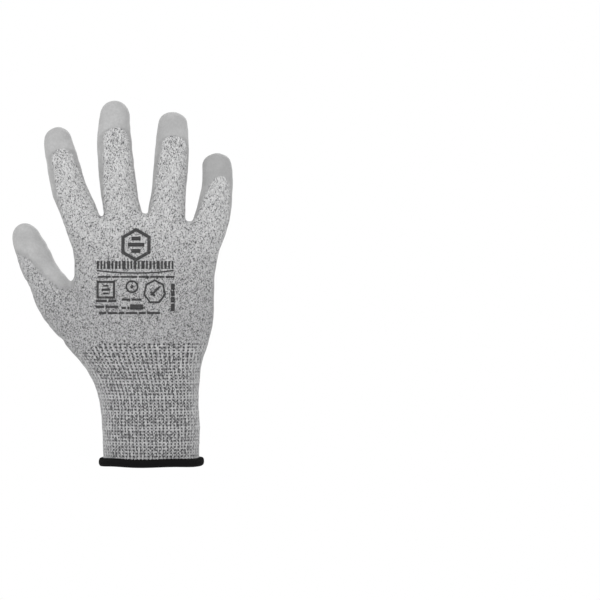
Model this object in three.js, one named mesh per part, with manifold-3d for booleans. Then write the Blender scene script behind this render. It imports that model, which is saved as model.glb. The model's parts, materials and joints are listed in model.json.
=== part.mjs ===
// A cut resistant work glove for the right hand, in millimetres.
// +Z runs from the cuff to the fingertips, -Y is the back of the hand and +Y the palm.
// The origin is the centre of the cuff's mouth, in the plane of the hem's lower edge.
import * as THREE from "three";
import { mergeVertices } from "three/addons/utils/BufferGeometryUtils.js";
import Module from "manifold-3d";

const wasm = await Module();
wasm.setup();

// ---- driving sizes ----
const knitWall = 1.2; // the knitted liner
const filmWall = 0.6; // the dipped coating
const printWall = 0.2; // the transfer print on the back
const gap = 0.3; // between pieces that touch
const hemHeight = 5.8;
const hemProud = 2.6; // how far the hem's binding stands out from the cuff
const hemRound = 1.3;
const ribTop = 87.5; // where the cuff's rib knit turns into the plain knit of the hand
const wristHeight = 60; // the wrist's fold line
const webTop = 176; // the top of the hand between the fingers
const coatingBack = -8; // how far the palm's coating wraps round to the back
const printBox = { left: -42, right: 18, low: 105, high: 169 };
const elastic = { radius: 0.5, low: 10, high: 40, turns: 4, stepsPerTurn: 14, sides: 4 };
const handSides = 24;
const fingerSides = 12;
const foldHalf = 0.7; // half the width of a fold where it is narrowest, on its hinge line
const reach = 90; // longer than any piece that a cutter passes through

// Cuff and hand: height, left and right edges, half depth, and how far the middle lies to the palm.
const handSections = [
  { z: 0, left: -34.2, right: 34.2, depth: 21, back: 0 },
  { z: 20, left: -34, right: 34.2, depth: 21, back: 0 },
  { z: 46, left: -36.4, right: 34.3, depth: 20.5, back: 0 },
  { z: 60, left: -40.7, right: 34.4, depth: 20, back: 0 },
  { z: 70, left: -46.2, right: 35, depth: 19.6, back: 0 },
  { z: 79, left: -52.5, right: 37.5, depth: 19.2, back: 0 },
  { z: 87.5, left: -59.5, right: 40.4, depth: 19, back: 0.5 },
  { z: 98, left: -62, right: 41.6, depth: 19, back: 1 },
  { z: 110, left: -62, right: 43.2, depth: 19, back: 1.5 },
  { z: 124, left: -60, right: 44.4, depth: 18.5, back: 1.5 },
  { z: 135, left: -56.5, right: 45.3, depth: 17.5, back: 1 },
  { z: 147, left: -54.5, right: 47, depth: 16, back: 0.5 },
  { z: 158, left: -56, right: 50.3, depth: 14.5, back: 0 },
  { z: 168, left: -60.5, right: 53, depth: 12.5, back: 0 },
  { z: webTop, left: -61.5, right: 53, depth: 11, back: 0 },
];

// The ball of the thumb, from inside the hand up to the thumb's root.
const thumbBase = [
  { x: -40, y: 2, z: 92, radius: 11 },
  { x: -56, y: 3, z: 104, radius: 15.5 },
  { x: -63.7, y: 4, z: 116.2, radius: 15.8 },
  { x: -73.2, y: 5.3, z: 132, radius: 11.4 },
];

// Fingers: root, lean to the side and to the palm and turn of the pad in degrees, half widths along the
// length, the height of the round tip, how far down the back the tip's coating reaches, and the folds
// with their place along the finger and how far each bends to the palm and back, in degrees.
const fingers = [
  {
    name: "index",
    root: [-50.2, 0, 178],
    side: -14.5,
    curl: 5,
    turn: 0,
    widths: [[13.6, 0], [12.9, 18], [11.6, 35], [10.4, 51.8]],
    tipHeight: 14,
    backCoating: 15.5,
    folds: [["mcp", 9.5, 60, 10], ["pip", 29.5, 75, 0], ["dip", 48, 45, 0]],
  },
  {
    name: "middle",
    root: [-19.5, 0, 178.3],
    side: -4.8,
    curl: 4,
    turn: 0,
    widths: [[13.2, 0], [12.8, 17], [12.3, 33], [11.5, 48], [10.3, 69.3]],
    tipHeight: 12.7,
    backCoating: 20,
    folds: [["mcp", 10, 60, 10], ["pip", 34, 80, 0], ["dip", 58, 45, 0]],
  },
  {
    name: "ring",
    root: [11, 0, 177.5],
    side: 3.7,
    curl: 5,
    turn: 0,
    widths: [[13, 0], [12.1, 17], [11.8, 34], [11.3, 49], [10.8, 61.5]],
    tipHeight: 13.5,
    backCoating: 19,
    folds: [["mcp", 9.5, 60, 10], ["pip", 31, 80, 0], ["dip", 52, 45, 0]],
  },
  {
    name: "little",
    root: [41.3, 0, 172.5],
    side: 7.7,
    curl: 7,
    turn: 0,
    widths: [[12.6, 0], [11.6, 14], [10.5, 28], [10.1, 38.3]],
    tipHeight: 12,
    backCoating: 14,
    folds: [["mcp", 8, 50, 10], ["pip", 23.5, 65, 0], ["dip", 37.5, 40, 0]],
  },
  {
    name: "thumb",
    root: [-71, 5, 128],
    side: -23.4,
    curl: 6,
    turn: 45,
    widths: [[14.2, 0], [12.9, 13], [12, 25], [10.8, 35.5]],
    tipHeight: 13,
    backCoating: 22,
    folds: [["mcp", 8, 45, 10], ["ip", 27, 60, 0]],
  },
];
const fingerDepth = 0.82; // a finger's depth over its width
const rootLength = 18; // how far a finger's root reaches down into the hand
const rootTaper = 0.6; // a root's width at its lower end over its width at the top
const wristFold = { at: wristHeight, flex: 50, extend: 45 };
const segmentNames = { 2: ["lower", "tip"], 3: ["lower", "middle", "tip"] };

const colours = {
  knit: new THREE.MeshStandardMaterial({ color: 0xc4c4c6, roughness: 0.9, metalness: 0 }),
  rib: new THREE.MeshStandardMaterial({ color: 0xb0b0b3, roughness: 0.92, metalness: 0 }),
  coating: new THREE.MeshStandardMaterial({ color: 0xadadae, roughness: 0.6, metalness: 0 }),
  binding: new THREE.MeshStandardMaterial({ color: 0x161616, roughness: 0.75, metalness: 0 }),
  elastic: new THREE.MeshStandardMaterial({ color: 0xdedede, roughness: 0.7, metalness: 0 }),
  print: new THREE.MeshStandardMaterial({ color: 0x202022, roughness: 0.6, metalness: 0 }),
};

// ---- solids ----
function solidOf(geometry, matrix) {
  const plain = new THREE.BufferGeometry();
  plain.setAttribute("position", geometry.getAttribute("position"));
  plain.setIndex(geometry.index);
  if (matrix) plain.applyMatrix4(matrix);
  const merged = mergeVertices(plain, 1e-4);
  return new wasm.Manifold(
    new wasm.Mesh({
      numProp: 3,
      vertProperties: merged.attributes.position.array,
      triVerts: new Uint32Array(merged.index.array),
    }),
  );
}

function geometryOf(solid) {
  const mesh = solid.getMesh();
  const geometry = new THREE.BufferGeometry();
  geometry.setAttribute("position", new THREE.BufferAttribute(mesh.vertProperties, 3));
  geometry.setIndex(new THREE.BufferAttribute(mesh.triVerts, 1));
  geometry.computeVertexNormals();
  return geometry;
}

// A closed solid through oval rings, each with a centre, two half axes and the same number of sides.
function loft(rings, sides) {
  const points = [];
  for (const { centre, across, deep } of rings) {
    for (let i = 0; i < sides; i++) {
      const angle = (2 * Math.PI * i) / sides;
      const p = centre.clone();
      p.addScaledVector(across, Math.cos(angle));
      p.addScaledVector(deep, Math.sin(angle));
      points.push(...p.toArray());
    }
  }
  const ends = [rings[0], rings.at(-1)];
  for (const { centre } of ends) points.push(...centre.toArray());
  const faces = [];
  const first = rings.length * sides;
  const last = (rings.length - 1) * sides;
  for (let i = 0; i < sides; i++) {
    const next = (i + 1) % sides;
    for (let r = 0; r < rings.length - 1; r++) {
      const low = r * sides;
      const high = low + sides;
      faces.push(low + i, low + next, high + next, low + i, high + next, high + i);
    }
    faces.push(first, next, i, first + 1, last + i, last + next);
  }
  const geometry = new THREE.BufferGeometry();
  geometry.setAttribute("position", new THREE.Float32BufferAttribute(points, 3));
  geometry.setIndex(faces);
  return solidOf(geometry);
}

// The hand's oval at a height, grown by an offset.
function handRing({ z, left, right, depth, back }, offset, height = z) {
  return {
    centre: new THREE.Vector3((left + right) / 2, back, height),
    across: new THREE.Vector3((right - left) / 2 + offset, 0, 0),
    deep: new THREE.Vector3(0, depth + offset, 0),
  };
}

// Cuff and hand without fingers. An inner one runs out through the cuff's mouth.
function handBlank(offset) {
  const rings = handSections.map((section) => handRing(section, offset));
  rings.at(-1).centre.z += offset;
  if (offset < 0) rings.unshift(handRing(handSections[0], offset, -hemHeight));
  return loft(rings, handSides);
}

function thumbBaseBlank(offset) {
  const [low, high] = [thumbBase[0], thumbBase.at(-1)];
  const along = new THREE.Vector3(high.x - low.x, 0, high.z - low.z).normalize();
  const across = new THREE.Vector3(along.z, 0, -along.x);
  const rings = thumbBase.map(({ x, y, z, radius }) => ({
    centre: new THREE.Vector3(x, y, z),
    across: across.clone().multiplyScalar(radius + offset),
    deep: new THREE.Vector3(0, radius * 0.95 + offset, 0),
  }));
  return loft(rings, fingerSides);
}

// ---- fingers, each in its own frame: z along it, y to its pad ----
function fingerMatrix({ root, side, curl, turn }) {
  const matrix = new THREE.Matrix4().makeTranslation(...root);
  const degrees = Math.PI / 180;
  matrix.multiply(new THREE.Matrix4().makeRotationY(side * degrees));
  matrix.multiply(new THREE.Matrix4().makeRotationX(-curl * degrees));
  matrix.multiply(new THREE.Matrix4().makeRotationZ(-turn * degrees));
  return matrix;
}

// A finger's outside with its root in the hand, grown by an offset.
function fingerBlank({ widths, tipHeight }, offset) {
  const rootWidth = rootTaper * widths[0][0] + offset;
  const profile = [new THREE.Vector2(0, -rootLength), new THREE.Vector2(rootWidth, -rootLength)];
  for (const [width, z] of widths) profile.push(new THREE.Vector2(width + offset, z));
  const [tipWidth, tipStart] = widths.at(-1);
  const tipSteps = 4;
  for (let i = 1; i <= tipSteps; i++) {
    const angle = (Math.PI / 2) * (i / tipSteps);
    const x = i < tipSteps ? (tipWidth + offset) * Math.cos(angle) : 0;
    profile.push(new THREE.Vector2(x, tipStart + (tipHeight + offset) * Math.sin(angle)));
  }
  const upright = new THREE.Matrix4().makeRotationX(Math.PI / 2);
  const oval = new THREE.Matrix4().makeScale(1, fingerDepth, 1);
  return solidOf(new THREE.LatheGeometry(profile, fingerSides), oval.multiply(upright));
}

// One edge of a fold: its points from the back, over the hinge line, to the pad.
function foldEdge({ at, flex, extend }, side, clearance) {
  const slope = (angle) => Math.tan(((angle / 2) * Math.PI) / 180) * reach;
  const base = foldHalf + clearance;
  return [
    [-reach, at + side * (base + slope(extend))],
    [0, at + side * base],
    [reach, at + side * (base + slope(flex))],
  ];
}

const level = (z) => [[-reach, z], [reach, z]];

// All the room above an edge, as wide as the part.
function above(edge) {
  const outline = [...edge, [reach, 5 * reach], [-reach, 5 * reach]];
  const shape = new THREE.Shape(outline.map((p) => new THREE.Vector2(...p)));
  const geometry = new THREE.ExtrudeGeometry(shape, { depth: 2 * reach, bevelEnabled: false });
  geometry.translate(0, 0, -reach);
  const yzx = new THREE.Matrix4().makeBasis(
    new THREE.Vector3(0, 1, 0),
    new THREE.Vector3(0, 0, 1),
    new THREE.Vector3(1, 0, 0),
  );
  return solidOf(geometry, yzx);
}

const slab = (low, high) => above(low).subtract(above(high));

function box(min, max) {
  const size = new THREE.Vector3().subVectors(max, min);
  const geometry = new THREE.BoxGeometry(...size.toArray());
  const middle = new THREE.Vector3().addVectors(min, max).multiplyScalar(0.5);
  return solidOf(geometry, new THREE.Matrix4().makeTranslation(...middle.toArray()));
}

// ---- the object ----
const glove = new THREE.Group();

// Cuts can leave slivers beside a piece, so only its largest body is kept.
function addPiece(group, name, solid, material) {
  const [body] = solid.decompose().sort((a, b) => b.volume() - a.volume());
  const mesh = new THREE.Mesh(geometryOf(body), material);
  mesh.name = name;
  group.add(mesh);
}

// The fingers' knit and coating, cut at the folds. Below its first fold a finger belongs to the hand.
function makeFinger(finger) {
  const group = new THREE.Group();
  group.applyMatrix4(fingerMatrix(finger));
  const knit = fingerBlank(finger, 0).subtract(fingerBlank(finger, -knitWall));
  const coating = fingerFilm(finger);
  const folds = finger.folds.map(([name, at, flex, extend]) => ({ name, at, flex, extend }));
  const lows = folds.map((fold) => foldEdge(fold, 1, gap));
  const highs = [...folds.slice(1).map((fold) => foldEdge(fold, -1, gap)), level(2 * reach)];
  segmentNames[folds.length].forEach((name, i) => {
    const between = slab(lows[i], highs[i]);
    addPiece(group, `${finger.name}_${name}_knit`, knit.intersect(between), colours.knit);
    addPiece(group, `${finger.name}_${name}_coating`, coating.intersect(between), colours.coating);
  });
  for (const fold of folds) {
    const between = slab(foldEdge(fold, -1, 0), foldEdge(fold, 1, 0));
    addPiece(group, `${finger.name}_${fold.name}_fold`, knit.intersect(between), colours.knit);
  }
  glove.add(group);
}

// A finger's coating in its own frame: all round the tip, and only the pad's side below it.
function fingerFilm(finger) {
  const film = fingerBlank(finger, gap + filmWall).subtract(fingerBlank(finger, gap));
  const backEnd = finger.widths.at(-1)[1] + finger.tipHeight - finger.backCoating;
  const backEdge = -0.5 * fingerDepth * finger.widths[1][0];
  const low = new THREE.Vector3(-reach, -reach, -reach);
  const bareBack = box(low, new THREE.Vector3(reach, backEdge, backEnd));
  return film.subtract(bareBack);
}

// Hand, ball of the thumb and fingers in one, grown by an offset.
function handWithFingers(offset) {
  let solid = handBlank(offset).add(thumbBaseBlank(offset));
  for (const finger of fingers) {
    solid = solid.add(fingerBlank(finger, offset).transform(fingerMatrix(finger).toArray()));
  }
  return solid;
}

function makeHand() {
  const knit = handWithFingers(0).subtract(handWithFingers(-knitWall));
  const film = handWithFingers(gap + filmWall).subtract(handWithFingers(gap));
  // each finger is cut off at its first fold
  const cutters = fingers.map((finger) => {
    const [, at, flex, extend] = finger.folds[0];
    const halfWidth = finger.widths[0][0] + 2 * filmWall + gap;
    const alongside = box(
      new THREE.Vector3(-halfWidth, -reach, 0),
      new THREE.Vector3(halfWidth, reach, 2 * reach),
    );
    const beyond = above(foldEdge({ at, flex, extend }, -1, gap)).intersect(alongside);
    return beyond.transform(fingerMatrix(finger).toArray());
  });
  const withoutFingers = (solid) => cutters.reduce((rest, cutter) => rest.subtract(cutter), solid);
  const wristLow = foldEdge(wristFold, -1, gap);
  const wristHigh = foldEdge(wristFold, 1, gap);
  const fold = slab(foldEdge(wristFold, -1, 0), foldEdge(wristFold, 1, 0));
  const hand = above(level(ribTop + gap));

  addPiece(glove, "cuff_rib", knit.intersect(slab(level(hemHeight + gap), wristLow)), colours.rib);
  addPiece(glove, "wrist_fold", knit.intersect(fold), colours.rib);
  addPiece(glove, "gauntlet_rib", knit.intersect(slab(wristHigh, level(ribTop))), colours.rib);
  addPiece(glove, "hand_knit", withoutFingers(knit.intersect(hand)), colours.knit);

  const palmSide = box(
    new THREE.Vector3(-2 * reach, coatingBack, 0),
    new THREE.Vector3(2 * reach, reach, 3 * reach),
  );
  const palmFilm = film.intersect(palmSide).intersect(above(wristHigh));
  addPiece(glove, "palm_coating", withoutFingers(palmFilm), colours.coating);

  const print = handWithFingers(gap + printWall).subtract(handWithFingers(gap));
  const printed = box(
    new THREE.Vector3(printBox.left, -reach, printBox.low),
    new THREE.Vector3(printBox.right, coatingBack - gap, printBox.high),
  );
  addPiece(glove, "back_print", print.intersect(printed), colours.print);
}

function makeHem() {
  const cuff = handSections[0];
  const rings = [
    [0, hemProud - hemRound],
    [hemRound, hemProud],
    [hemHeight - hemRound, hemProud],
    [hemHeight, hemProud - hemRound],
  ].map(([z, offset]) => handRing(cuff, offset, z));
  const hem = loft(rings, handSides).subtract(handBlank(-knitWall));
  addPiece(glove, "hem_binding", hem, colours.binding);
}

// The elastic yarn, a spiral that lies against the inside of the cuff.
class CuffSpiral extends THREE.Curve {
  getPoint(t) {
    const angle = 2 * Math.PI * elastic.turns * t;
    const inset = knitWall + 2 * gap + elastic.radius;
    const { left, right, depth } = handSections[1];
    return new THREE.Vector3(
      ((right - left) / 2 - inset) * Math.cos(angle),
      (depth - inset) * Math.sin(angle),
      THREE.MathUtils.lerp(elastic.low, elastic.high, t),
    );
  }
}

function makeElastic() {
  const section = new THREE.Shape();
  for (let i = 0; i < elastic.sides; i++) {
    const angle = (2 * Math.PI * i) / elastic.sides;
    const point = [elastic.radius * Math.cos(angle), elastic.radius * Math.sin(angle)];
    if (i) section.lineTo(...point);
    else section.moveTo(...point);
  }
  section.closePath();
  const geometry = new THREE.ExtrudeGeometry(section, {
    steps: elastic.turns * elastic.stepsPerTurn,
    bevelEnabled: false,
    extrudePath: new CuffSpiral(),
  });
  addPiece(glove, "cuff_elastic_yarn", solidOf(geometry), colours.elastic);
}

makeHem();
makeElastic();
makeHand();
for (const finger of fingers) makeFinger(finger);

export default glove;
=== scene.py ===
import json
import math
import bpy
import bmesh
import numpy as np
from mathutils import Matrix, Vector
from mathutils.bvhtree import BVHTree


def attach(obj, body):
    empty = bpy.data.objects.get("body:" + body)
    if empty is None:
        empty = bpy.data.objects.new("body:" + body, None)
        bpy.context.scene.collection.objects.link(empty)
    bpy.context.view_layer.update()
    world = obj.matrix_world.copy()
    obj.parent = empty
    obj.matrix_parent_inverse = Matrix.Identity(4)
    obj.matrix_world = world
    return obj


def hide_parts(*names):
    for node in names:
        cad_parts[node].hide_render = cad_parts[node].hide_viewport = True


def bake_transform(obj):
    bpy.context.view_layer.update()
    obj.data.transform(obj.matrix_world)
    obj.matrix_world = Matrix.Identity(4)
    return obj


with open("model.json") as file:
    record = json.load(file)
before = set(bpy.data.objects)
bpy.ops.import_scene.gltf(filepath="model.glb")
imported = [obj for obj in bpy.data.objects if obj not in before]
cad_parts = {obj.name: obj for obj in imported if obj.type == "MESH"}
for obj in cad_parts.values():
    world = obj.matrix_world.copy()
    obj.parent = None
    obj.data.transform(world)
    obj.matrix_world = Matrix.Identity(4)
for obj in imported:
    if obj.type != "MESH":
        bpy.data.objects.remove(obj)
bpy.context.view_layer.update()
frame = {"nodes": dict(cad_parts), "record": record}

mm = 0.001
joints = {joint["name"]: joint for joint in frame["record"]["behaviour"]["joints"]}

# camera, light and floor
view = {
    "lens": 150, "sensor": 36, "width": 0.428, "centre": (0.106, 0.1182), "aim": (-0.02, 0, 0.13),
    "floor": -0.15, "floorSize": 0.88, "paper": (0.8, 0.8, 0.8), "paperRoughness": 0.9,
    # name, place, size and power of each light
    "lights": [
        ("keyLight", (-0.9, -1.3, 1.1), 0.7, 9.0),
        ("fillLight", (1.1, -1.2, 0.3), 1.0, 3.0),
        ("backLight", (0.5, 1.3, 0.9), 0.9, 7.0),
    ],
}


def makeStudio():
    scene = bpy.context.scene
    scene.view_settings.view_transform = "Standard"
    camera = bpy.data.objects.new("camera", bpy.data.cameras.new("camera"))
    camera.data.lens = view["lens"]
    camera.data.sensor_width = view["sensor"]
    distance = view["width"] * view["lens"] / view["sensor"]
    camera.location = (view["centre"][0], -distance, view["centre"][1])
    camera.rotation_euler = (math.radians(90), 0, 0)
    scene.collection.objects.link(camera)
    scene.camera = camera
    world = bpy.data.worlds.new("studio")
    world.use_nodes = True
    world.node_tree.nodes["Background"].inputs["Color"].default_value = (1, 1, 1, 1)
    world.node_tree.nodes["Background"].inputs["Strength"].default_value = 1.0
    scene.world = world
    for name, place, size, power in view["lights"]:
        lamp = bpy.data.objects.new(name, bpy.data.lights.new(name, "AREA"))
        lamp.data.size = size
        lamp.data.energy = power
        lamp.location = place
        aim = Vector(view["aim"]) - Vector(place)
        lamp.rotation_euler = aim.to_track_quat("-Z", "Y").to_euler()
        scene.collection.objects.link(lamp)
    bm = bmesh.new()
    bmesh.ops.create_grid(bm, x_segments=1, y_segments=1, size=view["floorSize"] / 2)
    bmesh.ops.translate(bm, verts=bm.verts, vec=(view["aim"][0], 0, view["floor"]))
    floor = objectFrom(bm, "floor")
    floor.data.materials.append(Material("floorPaper").plain(view["paper"], view["paperRoughness"]))


# shader helpers
class Wire:
    def __init__(self, material, socket):
        self.material = material
        self.socket = socket

    def maths(self, operation, *others):
        return self.material.node("ShaderNodeMath", {"operation": operation}, [self, *others])

    def __add__(self, other):
        return self.maths("ADD", other)

    def __radd__(self, other):
        return self.maths("ADD", other)

    def __sub__(self, other):
        return self.maths("SUBTRACT", other)

    def __rsub__(self, other):
        return self.material.node("ShaderNodeMath", {"operation": "SUBTRACT"}, [other, self])

    def __mul__(self, other):
        return self.maths("MULTIPLY", other)

    def __rmul__(self, other):
        return self.maths("MULTIPLY", other)

    def __truediv__(self, other):
        return self.maths("DIVIDE", other)

    def __abs__(self):
        return self.maths("ABSOLUTE")

    def floor(self):
        return self.maths("FLOOR")

    def fract(self):
        return self.maths("FRACT")

    def power(self, other):
        return self.maths("POWER", other)

    def smooth(self, low, high):
        values = {"Value": self, "From Min": low, "From Max": high}
        return self.material.node("ShaderNodeMapRange", {"interpolation_type": "SMOOTHSTEP"}, values)


class Material:
    def __init__(self, name):
        self.made = bpy.data.materials.new(name)
        self.made.use_nodes = True
        self.tree = self.made.node_tree
        self.shader = self.tree.nodes["Principled BSDF"]

    def node(self, kind, settings, values, output=0):
        node = self.tree.nodes.new(kind)
        for name, value in settings.items():
            if name == "stops":
                ramp = node.color_ramp
                while len(ramp.elements) < len(value):
                    ramp.elements.new(0.5)
                for element, (place, tone) in zip(ramp.elements, value):
                    element.position = place
                    element.color = (*tone, 1)
            else:
                setattr(node, name, value)
        named = values.items() if isinstance(values, dict) else enumerate(values)
        for name, value in named:
            socket = node.inputs[name]
            if isinstance(value, Wire):
                self.tree.links.new(value.socket, socket)
            else:
                socket.default_value = value
        return Wire(self, node.outputs[output])

    def attribute(self, name):
        return self.node("ShaderNodeAttribute", {"attribute_name": name}, {}, "Fac")

    def mix(self, factor, low, high):
        values = {"Factor": factor, 6: colour(low), 7: colour(high)}
        return self.node("ShaderNodeMix", {"data_type": "RGBA"}, values, 2)

    def times(self, tone, factor):
        settings = {"data_type": "RGBA", "blend_type": "MULTIPLY"}
        return self.node("ShaderNodeMix", settings, {"Factor": 1.0, 6: tone, 7: factor}, 2)

    def plain(self, tone, roughness):
        self.shader.inputs["Base Color"].default_value = (*tone, 1)
        self.shader.inputs["Roughness"].default_value = roughness
        return self.made

    def finish(self, tone=None, roughness=None, normal=None, fixed=()):
        for name, wire in (("Base Color", tone), ("Roughness", roughness), ("Normal", normal)):
            if isinstance(wire, Wire):
                self.tree.links.new(wire.socket, self.shader.inputs[name])
            elif wire is not None:
                self.shader.inputs[name].default_value = wire
        for name, value in dict(fixed).items():
            self.shader.inputs[name].default_value = value
        return self.made


def colour(value):
    return value if isinstance(value, Wire) else (*value, 1)


# mesh helpers
def objectFrom(bm, name):
    mesh = bpy.data.meshes.new(name)
    bm.to_mesh(mesh)
    bm.free()
    made = bpy.data.objects.new(name, mesh)
    bpy.context.scene.collection.objects.link(made)
    return made


def applyModifiers(piece):
    bpy.context.view_layer.update()
    mesh = bpy.data.meshes.new_from_object(piece.evaluated_get(bpy.context.evaluated_depsgraph_get()))
    piece.modifiers.clear()
    old = piece.data
    piece.data = mesh
    bpy.data.meshes.remove(old)


def places(mesh):
    flat = np.empty(len(mesh.vertices) * 3)
    mesh.vertices.foreach_get("co", flat)
    return flat.reshape(-1, 3)


def normals(mesh):
    flat = np.empty(len(mesh.vertices) * 3, dtype=np.float32)
    mesh.vertex_normals.foreach_get("vector", flat)
    return flat.reshape(-1, 3).astype(float)


def smoothStep(value, low, high):
    t = np.clip((value - low) / (high - low), 0, 1)
    return t * t * (3 - 2 * t)


def hump(value, centre, width):
    return np.exp(-(((value - centre) / width) ** 2))


# the glove's form, in millimetres
handForm = {
    "sides": 72, "ballSides": 40, "fingerSides": 36, "ballDepth": 0.95,
    "trimBelow": 3,  # the form is cut open at this height, inside the hem
    # height, left and right edge, half depth, middle's distance to the palm
    "sections": [
        (-8, -34.6, 34.4, 21, 0), (6, -34.6, 34.4, 21, 0), (20, -34.9, 34.4, 21, 0),
        (38, -35.9, 34.2, 20.8, 0), (50, -37.6, 34.3, 20.3, 0), (60, -41, 34.4, 19.8, 0),
        (70, -46.8, 34.9, 19.2, 0), (78.6, -54.4, 37.8, 18.8, 0), (87, -61.6, 41.1, 18.5, 0.5),
        (98, -64.4, 43.2, 18.5, 1), (110, -64.2, 44.6, 18.2, 1.5), (124, -61, 45.4, 17.6, 1.5),
        (135, -55.2, 45.5, 16.8, 1), (147, -55.2, 46.8, 15.6, 0.5), (158, -57.2, 48.8, 14.2, 0),
        (167, -59, 51.1, 12.6, 0), (172, -59.8, 51.8, 10.6, 0), (175.5, -59.8, 49.5, 7.5, 0),
        (177, -57, 44, 4, 0),
    ],
    # ball of the thumb: x, height, distance to the palm, radius
    "ball": [
        (-40, 92, 2, 11), (-54.3, 101.8, 3, 14.8), (-64.9, 114.5, 4, 15.7), (-73.8, 128.3, 5, 13.9),
        (-76.4, 135, 5.4, 12),
    ],
    "voxel": 1.35,
    "smoothing": 7,
}
# fingers: points of the middle line with half width, lean to the palm, turn of the pad
fingerForms = {
    "index": {
        "line": [(-46.5, 160, 11), (-49.6, 175, 12.6), (-53.2, 184, 12.8), (-58.7, 196, 13.1),
                 (-62.6, 212, 12.1), (-65.3, 224, 10.9), (-66.9, 232, 9.5)],
        "tip": (-66.8, 241.9), "curl": 5, "turn": 0},
    "middle": {
        "line": [(-18, 160, 11), (-19.8, 175, 13.3), (-21.1, 184, 12.8), (-23, 195, 12.9), (-25.4, 211, 13),
                 (-26.6, 226, 12.2), (-27, 238.7, 11.6), (-26.8, 249, 10.9)],
        "tip": (-26.3, 261), "curl": 4, "turn": 0},
    "ring": {
        "line": [(9.5, 160, 11), (10.6, 175, 13.2), (10.9, 184, 13), (12.6, 197, 12.7), (13.7, 211, 12.3),
                 (14.4, 226, 11.8), (14.7, 238.7, 11.3), (14.7, 243, 10.6)],
        "tip": (15.4, 253.2), "curl": 5, "turn": 0},
    "little": {
        "line": [(36, 150, 10), (41.1, 168, 12.4), (44.4, 180.5, 12.1), (46.1, 193, 11.5),
                 (46.8, 202.4, 11), (46.6, 212, 10.9), (46.4, 214.5, 10.6)],
        "tip": (45.8, 223), "curl": 7, "turn": 0},
    "thumb": {
        "line": [(-62, 111, 12), (-68.2, 118.6, 14.2), (-74.2, 128.2, 14), (-80.1, 139.4, 13.8),
                 (-85.2, 150.8, 13.3), (-89.3, 160, 12.2)],
        "tip": (-95.4, 172.6), "curl": 6, "turn": 45},
}
fingerDepth = 0.82
thumbLift = 5  # the thumb's start lies this far to the palm
tipShares = (0.3, 0.55, 0.75, 0.88, 0.96, 0.995)  # where the rings of a round tip lie on its length
webDrop = {
    "from": 166, "to": 176, "lift": 3.2, "liftAt": -5, "liftWidth": 10,
    "drop": 4.0, "dropFrom": 12, "dropTo": 27,
}


def addRings(bm, rings, sides):
    # a closed tube: a disc drawn out from ring to ring
    first = bmesh.ops.create_circle(bm, cap_ends=True, radius=1, segments=sides)
    bmesh.ops.transform(bm, matrix=rings[0], verts=first["verts"])
    face = first["verts"][0].link_faces[0]
    for low, high in zip(rings, rings[1:]):
        made = bmesh.ops.extrude_face_region(bm, geom=[face])["geom"]
        verts = [v for v in made if isinstance(v, bmesh.types.BMVert)]
        face = next(f for f in made if isinstance(f, bmesh.types.BMFace))
        bmesh.ops.transform(bm, matrix=high @ low.inverted(), verts=verts)


def ringMatrix(centre, across, deep, along, halfWidth, halfDepth):
    columns = [across * halfWidth, deep * halfDepth, along]
    matrix = Matrix.Identity(4)
    for c, column in enumerate(columns):
        for r in range(3):
            matrix[r][c] = column[r]
    matrix.translation = centre
    return matrix


def handRings():
    rings = []
    for z, left, right, depth, back in handForm["sections"]:
        centre = Vector(((left + right) / 2, back, z))
        sideways, deep, up = Vector((1, 0, 0)), Vector((0, 1, 0)), Vector((0, 0, 1))
        rings.append(ringMatrix(centre, sideways, deep, up, (right - left) / 2, depth))
    return rings


def fingerRings(form):
    line = form["line"]
    tipX, tipZ = form["tip"]
    startX, startZ, _ = line[1]
    slope = math.tan(math.radians(form["curl"]))
    lift = thumbLift if form["turn"] else 0
    points = list(line)
    lastX, lastZ, lastW = line[-1]
    for t in tipShares:
        width = lastW * math.sqrt(1 - t**2.2)
        points.append((lastX + (tipX - lastX) * t, lastZ + (tipZ - lastZ) * t, width))
    rings = []
    for i, (x, z, w) in enumerate(points):
        before = points[max(i - 1, 0)]
        after = points[min(i + 1, len(points) - 1)]
        along = Vector((after[0] - before[0], 0, after[1] - before[1])).normalized()
        along = (along + Vector((0, slope, 0))).normalized()
        away = math.hypot(x - startX, z - startZ) * (1 if z > startZ else -1)
        across = Vector((0, 1, 0)).cross(along).normalized()
        deep = along.cross(across).normalized()
        turn = Matrix.Rotation(math.radians(-form["turn"]), 3, along)
        centre = Vector((x, lift + slope * away, z))
        rings.append(ringMatrix(centre, turn @ across, turn @ deep, along, w, w * fingerDepth))
    return rings


def ballRings():
    balls = handForm["ball"]
    deep = Vector((0, 1, 0))
    along = Vector((balls[-1][0] - balls[0][0], 0, balls[-1][1] - balls[0][1])).normalized()
    across = deep.cross(along).normalized()
    flat = handForm["ballDepth"]
    return [ringMatrix(Vector((x, y, z)), across, deep, along, r, r * flat) for x, z, y, r in balls]


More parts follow.
